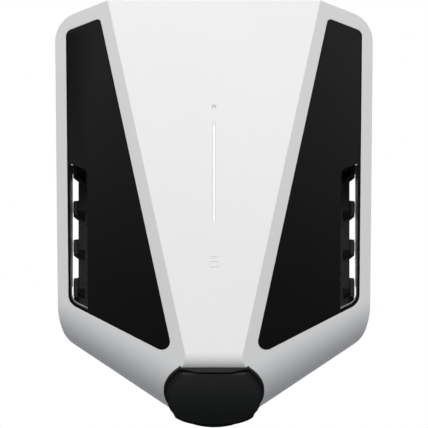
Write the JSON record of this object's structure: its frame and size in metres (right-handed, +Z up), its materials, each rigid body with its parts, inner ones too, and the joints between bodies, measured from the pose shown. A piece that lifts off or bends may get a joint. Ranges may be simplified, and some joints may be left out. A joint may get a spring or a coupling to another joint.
{
  "type": "ev wallbox",
  "caption": "Wall-mounted electric car charger with a faceted white cover, dark side windows, air slots and a flap-covered charging socket at its lower tip.",
  "frame": {"origin": "on the wall plane behind the box, 18 mm below the centre of the four wall screws", "axes": "+X to the right seen from the front, +Y into the wall, +Z up"},
  "size_m": [0.193, 0.1051, 0.2555],
  "materials": {
    "white_cover": "satin",
    "black_shell": "satin",
    "flap_black": "satin",
    "dark_plate": "matte",
    "rubber_seal": "matte",
    "steel_screw": "satin",
    "steel_pin": "polished",
    "grey_insulator": "matte",
    "board_green": "satin",
    "relay_black": "matte",
    "light_white": "gloss",
    "lens_clear": "gloss",
    "insert_black": "matte",
    "contact_silver": "polished"
  },
  "bodies": {
    "box": {"front_cover": "white_cover", "unit_front": "black_shell", "unit_rear_cover": "black_shell", "rear_cover_screws": "steel_screw", "unit_fixing_screws": "steel_screw", "backplate": "dark_plate", "chamber_seal": "rubber_seal", "cable_grommet": "rubber_seal", "signal_grommet": "rubber_seal", "strain_relief_clamp": "dark_plate", "clamp_screws": "steel_screw", "terminal_block": "grey_insulator", "terminal_screws": "steel_screw", "plate_connector": "grey_insulator", "unit_connector": "grey_insulator", "power_board": "board_green", "board_screws": "steel_screw", "power_relays": "relay_black", "fault_current_sensor": "relay_black", "control_board": "board_green", "light_guide": "light_white", "sensor_lens": "lens_clear", "socket_housing": "black_shell", "socket_insert": "insert_black", "socket_seal": "rubber_seal", "flap_hinge_pin": "steel_pin", "flap_spring": "steel_pin", "lock_actuator": "relay_black", "contact_earth": "contact_silver", "contact_line_1": "contact_silver", "contact_neutral": "contact_silver", "contact_line_2": "contact_silver", "contact_line_3": "contact_silver", "contact_pilot": "contact_silver", "contact_proximity": "contact_silver"},
    "flap": {"flap": "flap_black", "flap_seal": "rubber_seal"},
    "lock_pin": {"lock_pin": "steel_pin"}
  },
  "joints": [
    {"name": "flap_hinge", "type": "hinge", "parent": "box", "child": "flap", "pos_m": [0, -0.10023, -0.09458], "axis": [-1, 0, 0], "range_deg": [0, 100], "stiffness_Nm_per_rad": 0.02, "springref_deg": -17.19},
    {"name": "lock_slide", "type": "slide", "parent": "box", "child": "lock_pin", "axis": [0, 0.7513, -0.66], "range_m": [0, 0.0046]}
  ]
}
